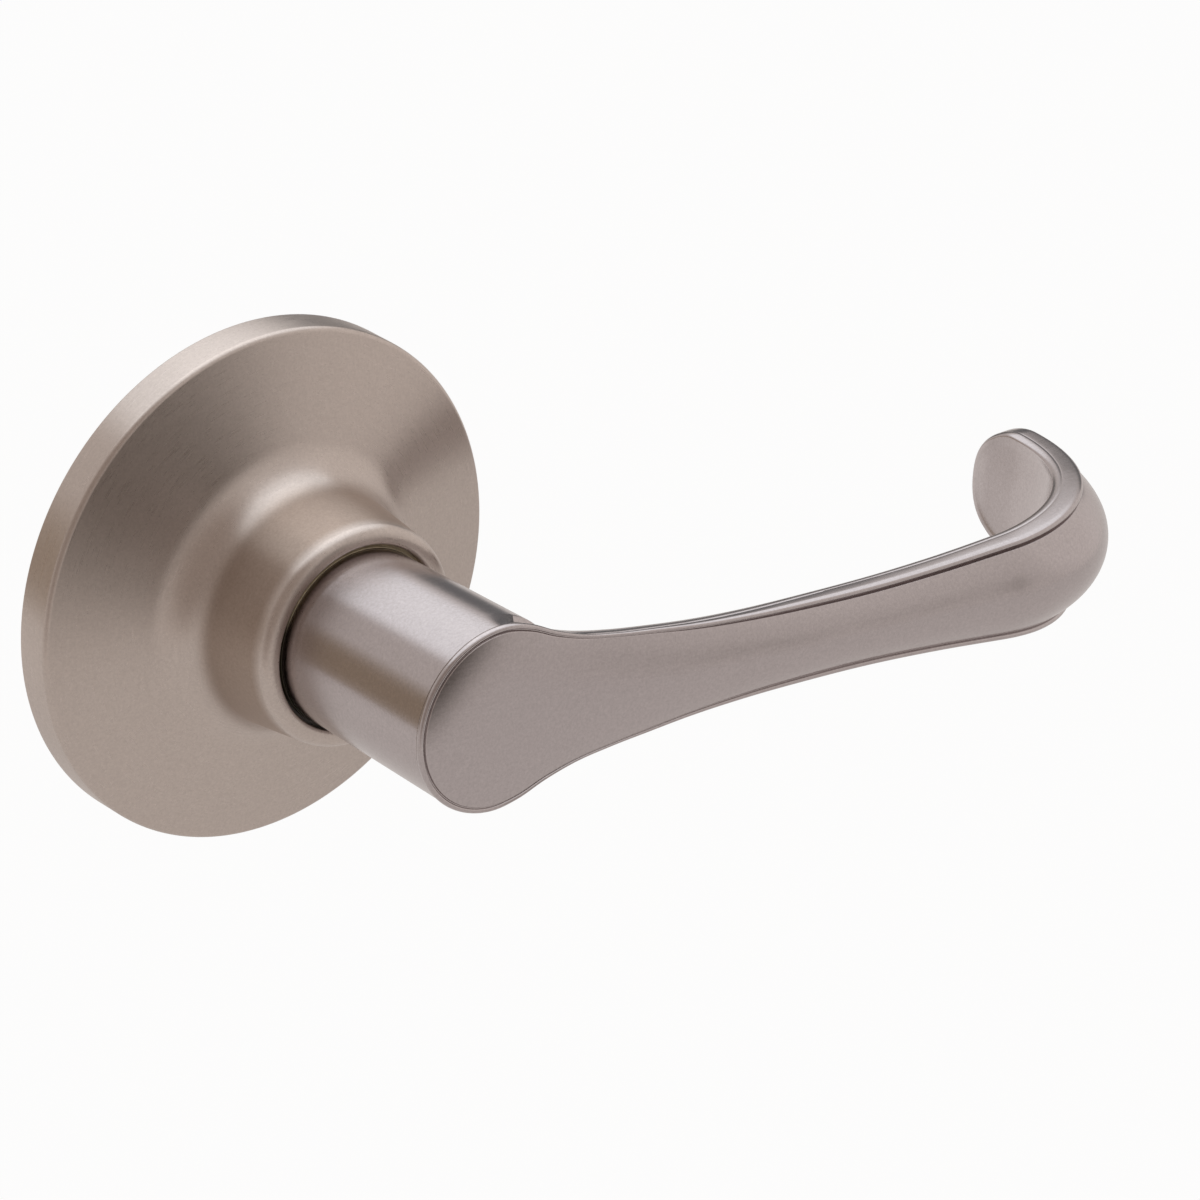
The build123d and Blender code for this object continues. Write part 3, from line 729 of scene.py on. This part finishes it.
def satin_nickel(name, colour, marks, rough, brushed, along_grip=False, relief=0.05, neck=None):
    """Satin nickel plate: fine brush marks in roughness and relief, and a fine grain in the colour; with neck
    given, a band of painted shade darkens the neck and roughens it.
    """
    shader = Shader(name)
    grain = shader.noise(shader.place((1, 1, 1)), grain_scale, roughness=0.8)
    fine = shader.noise(marks(shader), 1.0, detail=4.0, roughness=0.65)
    dark = [part * (1 - grain_depth) for part in colour]
    light = [part * (1 + grain_depth) for part in colour]
    tone = shader.tint(shader.spread(grain, 0.0, 1.0), dark, light)
    satin = shader.spread(fine, rough - brush_roughness_spread, rough + brush_roughness_spread)
    # Painted shade: the neck band's colour is darkened by the neck's shade tone, and its roughness is raised
    if neck:
        from_lip = shader.ramp("Y", *neck_band_lip, 0.0, 1.0)
        from_face = shader.ramp("Y", *neck_band_face, 1.0, 0.0)
        band = shader.math("MULTIPLY", from_lip, from_face)
        tone = shader.shade(tone, band, neck)
        satin = shader.math("MULTIPLY_ADD", band, neck_band_roughness, satin)
    shader.link(tone, shader.bsdf.inputs["Base Color"])
    shader.link(satin, shader.bsdf.inputs["Roughness"])
    shader.bump(fine, relief, brush_relief_height)
    tangent = shader.grip_tangent() if along_grip else shader.turned_tangent()
    shader.link(tangent, shader.bsdf.inputs["Tangent"])
    shader.bsdf.inputs["Metallic"].default_value = 1.0
    shader.bsdf.inputs["Anisotropic"].default_value = brushed
    shader.bsdf.inputs["Anisotropic Rotation"].default_value = brush_turn
    return shader.material


def rose_marks(shader):
    """Marks that run round the rose."""
    node = shader.add("ShaderNodeMapping")
    node.inputs["Scale"].default_value = rose_mark_scale
    shader.link(shader.rings(), node.inputs["Vector"])
    return node.outputs["Vector"]


def lever_marks(shader):
    """Marks that run along the lever."""
    return shader.place(lever_mark_scale)


def plain_metal(name, light, dark, rough, grain):
    """A machined or plated metal with mottled colour and roughness and a fine relief."""
    shader = Shader(name)
    mottle = shader.noise(shader.place((1, 1, 1)), grain, detail=5.0, roughness=0.6)
    fine = shader.noise(shader.place((1, 1, 1)), grain * metal_fine_scale)
    shader.link(shader.tint(mottle, dark, light), shader.bsdf.inputs["Base Color"])
    satin = shader.spread(mottle, *[rough * share for share in mottle_spread])
    shader.link(satin, shader.bsdf.inputs["Roughness"])
    shader.bump(fine, metal_relief)
    shader.bsdf.inputs["Metallic"].default_value = 1.0
    return shader.material


def moulded(name, light, dark, rough, grain):
    """A moulded plastic with a fine surface grain."""
    shader = Shader(name)
    cloud = shader.noise(shader.place((1, 1, 1)), cloud_scale, detail=2.0)
    fine = shader.noise(shader.place((1, 1, 1)), grain)
    shader.link(shader.tint(cloud, dark, light), shader.bsdf.inputs["Base Color"])
    satin = shader.spread(fine, rough - plastic_roughness_spread, rough + plastic_roughness_spread)
    shader.link(satin, shader.bsdf.inputs["Roughness"])
    shader.bump(fine, plastic_relief)
    return shader.material


def painted_shade_below(name, bush_colour, painted_shade_colour):
    """The neck bush: ivory above, darkened towards the bottom by painted shade with a ragged cloudy edge."""
    shader = Shader(name)
    cloud = shader.noise(shader.place((1, 1, 1)), bush_cloud_scale, detail=4.0)
    height = shader.ramp("Z", *bush_shade_heights, *bush_shade_range)
    lit_share = shader.math("ADD", height, shader.spread(cloud, -bush_shade_raggedness, bush_shade_raggedness))
    shader.link(shader.tint(lit_share, painted_shade_colour, bush_colour), shader.bsdf.inputs["Base Color"])
    shader.link(shader.spread(cloud, *bush_roughness_range), shader.bsdf.inputs["Roughness"])
    shader.bump(cloud, plastic_relief)
    return shader.material


def set_material(obj, material):
    """One material on an object's whole mesh."""
    obj.data.materials.clear()
    obj.data.materials.append(material)


# Pieces
rose = turned("rose_cover", rose_profile())
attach(rose, "trim")
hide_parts("rose_shell")

bush = turned("bearing_ring", bush_profile())
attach(bush, "trim")
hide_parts("neck_bush")

lever = lever_casting()
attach(lever, "handle")
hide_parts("lever")

# Finish of each piece; the lever is polished on its sides and brushed along its face
rose_colour = (0.545, 0.478, 0.436)
# Tone of the painted shade on the rose's neck band
neck_painted_shade = (0.75, 0.69, 0.64)
lever_colour = (0.470, 0.426, 0.422)
turned_nickel = satin_nickel(
    "satin nickel, turned", rose_colour, rose_marks, rough=0.30, brushed=0.75, relief=0.07, neck=neck_painted_shade
)
polished_nickel = satin_nickel("satin nickel, polished", lever_colour, lever_marks, rough=0.18, brushed=0.4)
brushed_nickel = satin_nickel(
    "satin nickel, brushed", lever_colour, lever_marks, rough=0.30, brushed=0.75, along_grip=True
)
set_material(rose, turned_nickel)
set_material(lever, polished_nickel)
lever.data.materials.append(brushed_nickel)

# Light tone, dark tone, roughness, grain
zinc = plain_metal("zinc plate", (0.62, 0.64, 0.66), (0.48, 0.50, 0.50), 0.36, 160.0)
rivet_steel = plain_metal("rivet steel", (0.52, 0.52, 0.52), (0.40, 0.40, 0.40), 0.38, 300.0)
pin_steel = plain_metal("ground steel", (0.50, 0.51, 0.53), (0.40, 0.41, 0.42), 0.24, 400.0)
sintered = plain_metal("sintered steel", (0.20, 0.20, 0.21), (0.10, 0.10, 0.11), 0.55, 900.0)
spring_steel = plain_metal("spring steel", (0.16, 0.16, 0.18), (0.09, 0.09, 0.10), 0.34, 500.0)
bronze = plain_metal("oil-filled bronze", (0.60, 0.40, 0.20), (0.42, 0.27, 0.13), 0.42, 700.0)
black_oxide = plain_metal("black oxide", (0.05, 0.05, 0.055), (0.025, 0.025, 0.03), 0.42, 500.0)
acetal = moulded("ivory acetal", (0.74, 0.68, 0.50), (0.66, 0.60, 0.42), 0.42, 1800.0)
nylon = moulded("black nylon", (0.035, 0.035, 0.035), (0.02, 0.02, 0.02), 0.55, 1500.0)

# The bush's own ivory colour, and the dark colour of the painted shade towards its bottom
set_material(bush, painted_shade_below("greased acetal", (0.70, 0.62, 0.44), (0.05, 0.04, 0.025)))
finishes = {
    "rose_liner": nylon,
    "mounting_plate": zinc,
    "spring_housing": zinc,
    "through_posts": zinc,
    "spindle": zinc,
    "housing_rivets": rivet_steel,
    "spring_anchor_peg": pin_steel,
    "stop_pegs": pin_steel,
    "spring_drive_peg": pin_steel,
    "spindle_pin": pin_steel,
    "drive_hub": sintered,
    "return_spring": spring_steel,
    "retaining_ring": spring_steel,
    "hub_bush": bronze,
    "thrust_washer": acetal,
    "front_washer": acetal,
    "set_screw": black_oxide,
}
for node, material in finishes.items():
    set_material(nodes[node], material)

# Stage: a pale floor well below the handle, which hangs as it does on a door
floor_drop = 0.42
floor_radius = 1.75
floor_middle = Vector((0.9, 0.75, -floor_drop))
floor_tone = (0.605, 0.545, 0.505)
# Painted pool of light: a lighter floor colour round a spot behind the handle
pool_middle = (-0.1, 1.1, -floor_drop)
pool_inside = 0.38
pool_outside = 0.72
pool_tone = (0.95, 0.90, 0.86)
floor_white_shown = 0.95
floor_white_mirrored = 0.35
floor_bm = bmesh.new()
bmesh.ops.create_circle(
    floor_bm,
    cap_ends=True,
    segments=floor_steps,
    radius=floor_radius,
    matrix=Matrix.Translation(floor_middle),
)
floor = new_object("floor", floor_bm, plain_sharp_angle)


def direction(azimuth, elevation):
    """Unit vector from the handle; azimuth 0 is straight out of the door, 90 along the lever."""
    a, e = radians(azimuth), radians(elevation)
    return Vector((sin(a) * cos(e), -cos(a) * cos(e), sin(e)))


def shown_share(tree, direct, mirrored):
    """How much white is shown: one share to the camera and through glass, another mirrored in metal."""
    path = tree.nodes.new("ShaderNodeLightPath")
    total = None
    shares = {"Is Camera Ray": direct, "Is Transmission Ray": direct, "Is Glossy Ray": mirrored}
    for output, amount in shares.items():
        part = tree.nodes.new("ShaderNodeMath")
        part.operation = "MULTIPLY_ADD"
        part.inputs[1].default_value = amount
        part.inputs[2].default_value = 0.0
        tree.links.new(path.outputs[output], part.inputs[0])
        if total:
            tree.links.new(total, part.inputs[2])
        total = part.outputs["Value"]
    part.use_clamp = True
    return total


def pale_floor():
    """A pale floor, nearly white to the camera, with a pool of light painted lighter into its colour behind
    the handle.
    """
    material = bpy.data.materials.new("pale floor")
    material.use_nodes = True
    tree = material.node_tree
    tree.nodes.clear()
    output = tree.nodes.new("ShaderNodeOutputMaterial")
    diffuse = tree.nodes.new("ShaderNodeBsdfDiffuse")
    coordinates = tree.nodes.new("ShaderNodeTexCoord")
    distance = tree.nodes.new("ShaderNodeVectorMath")
    distance.operation = "DISTANCE"
    distance.inputs[1].default_value = pool_middle
    tree.links.new(coordinates.outputs["Object"], distance.inputs[0])
    pool = tree.nodes.new("ShaderNodeMapRange")
    pool.interpolation_type = "SMOOTHSTEP"
    pool.inputs["From Min"].default_value = pool_outside
    pool.inputs["From Max"].default_value = pool_inside
    tree.links.new(distance.outputs["Value"], pool.inputs["Value"])
    tone = tree.nodes.new("ShaderNodeMix")
    tone.data_type = "RGBA"
    tone.inputs["A"].default_value = (*floor_tone, 1.0)
    tone.inputs["B"].default_value = (*pool_tone, 1.0)
    tree.links.new(pool.outputs["Result"], tone.inputs["Factor"])
    tree.links.new(tone.outputs["Result"], diffuse.inputs["Color"])
    glow = tree.nodes.new("ShaderNodeEmission")
    glow.inputs["Color"].default_value = (1.0, 1.0, 1.0, 1.0)
    glow.inputs["Strength"].default_value = 1.0
    share = shown_share(tree, floor_white_shown, floor_white_mirrored)
    mix = tree.nodes.new("ShaderNodeMixShader")
    tree.links.new(share, mix.inputs["Fac"])
    tree.links.new(diffuse.outputs["BSDF"], mix.inputs[1])
    tree.links.new(glow.outputs["Emission"], mix.inputs[2])
    tree.links.new(mix.outputs["Shader"], output.inputs["Surface"])
    return material


set_material(floor, pale_floor())

# Studio: the room's colour by direction, as soft patches laid over each other
room_white_shown = 1.0
room_white_mirrored = 0.06
room_colour = (0.70, 0.645, 0.615)
room_patches = [
    # azimuth, elevation, full within, gone beyond, colour
    (80.0, 20.0, 18.0, 42.0, (0.84, 0.78, 0.745)),
    (150.0, 70.0, 37.0, 47.0, (1.37, 1.40, 1.44)),
    (133.0, 10.0, 6.0, 17.0, (0.13, 0.13, 0.135)),
    (152.0, 3.0, 5.0, 17.0, (0.12, 0.115, 0.11)),
    (121.0, 14.0, 3.0, 10.0, (0.13, 0.13, 0.13)),
    (-60.0, 22.0, 24.0, 62.0, (0.355, 0.29, 0.255)),
    (14.0, -4.0, 8.0, 24.5, (0.05, 0.033, 0.02)),
    (-137.0, -3.0, 4.0, 22.0, (0.33, 0.245, 0.165)),
]


def studio():
    """The world: white to the camera, and to the metal a pale room with a light above and a dark side."""
    world = bpy.data.worlds.new("studio")
    bpy.context.scene.world = world
    world.use_nodes = True
    tree = world.node_tree
    tree.nodes.clear()
    coordinates = tree.nodes.new("ShaderNodeTexCoord")
    colour = tree.nodes.new("ShaderNodeRGB")
    colour.outputs["Color"].default_value = (*room_colour, 1.0)
    room = colour.outputs["Color"]
    for azimuth, elevation, inner, outer, patch in room_patches:
        facing = tree.nodes.new("ShaderNodeVectorMath")
        facing.operation = "DOT_PRODUCT"
        facing.inputs[1].default_value = direction(azimuth, elevation)
        tree.links.new(coordinates.outputs["Generated"], facing.inputs[0])
        edge = tree.nodes.new("ShaderNodeMapRange")
        edge.interpolation_type = "SMOOTHSTEP"
        edge.inputs["From Min"].default_value = cos(radians(outer))
        edge.inputs["From Max"].default_value = cos(radians(inner))
        tree.links.new(facing.outputs["Value"], edge.inputs["Value"])
        mix = tree.nodes.new("ShaderNodeMix")
        mix.data_type = "RGBA"
        mix.inputs["B"].default_value = (*patch, 1.0)
        tree.links.new(edge.outputs["Result"], mix.inputs["Factor"])
        tree.links.new(room, mix.inputs["A"])
        room = mix.outputs["Result"]
    shown = tree.nodes.new("ShaderNodeMix")
    shown.data_type = "RGBA"
    shown.inputs["B"].default_value = (1.0, 1.0, 1.0, 1.0)
    tree.links.new(shown_share(tree, room_white_shown, room_white_mirrored), shown.inputs["Factor"])
    tree.links.new(room, shown.inputs["A"])
    background = tree.nodes.new("ShaderNodeBackground")
    tree.links.new(shown.outputs["Result"], background.inputs["Color"])
    output = tree.nodes.new("ShaderNodeOutputWorld")
    tree.links.new(background.outputs["Background"], output.inputs["Surface"])


studio()

# Key light, from above and behind
light_aim = Vector((0.035, -0.025, 0.0))


def soft_box(name, azimuth, elevation, distance, size, power):
    """A round soft light aimed at the handle."""
    lamp = bpy.data.lights.new(name, "AREA")
    lamp.shape = "DISK"
    lamp.size = size
    lamp.energy = power
    obj = bpy.data.objects.new(name, lamp)
    way = direction(azimuth, elevation)
    obj.location = light_aim + way * distance
    obj.rotation_euler = way.to_track_quat("Z", "Y").to_euler()
    bpy.context.scene.collection.objects.link(obj)


soft_box("key", azimuth=150.0, elevation=66.0, distance=1.5, size=1.2, power=1.2)

# Camera: at the photograph's viewing angle, with the lever a little below level in the picture
view_azimuth = -39.36
view_elevation = 26.80
lever_droop = 6.35
view_distance = 0.884
rose_right = -0.04474
rose_up = 0.00364
lens = 211.75
camera = bpy.data.cameras.new("camera")
camera.lens = lens
camera.sensor_width = 36.0
camera.clip_start = 0.05
camera.clip_end = 50.0
back = direction(view_azimuth, view_elevation)
right = Vector((cos(radians(view_azimuth)), sin(radians(view_azimuth)), 0.0))
up = back.cross(right)
place = back * view_distance - right * rose_right - up * rose_up
axes = Matrix((right, up, back)).transposed().to_4x4()
camera_object = bpy.data.objects.new("camera", camera)
camera_object.matrix_world = Matrix.Rotation(radians(-lever_droop), 4, "Y") @ Matrix.Translation(place) @ axes
bpy.context.scene.collection.objects.link(camera_object)
bpy.context.scene.camera = camera_object

bpy.context.scene.view_settings.view_transform = "Standard"
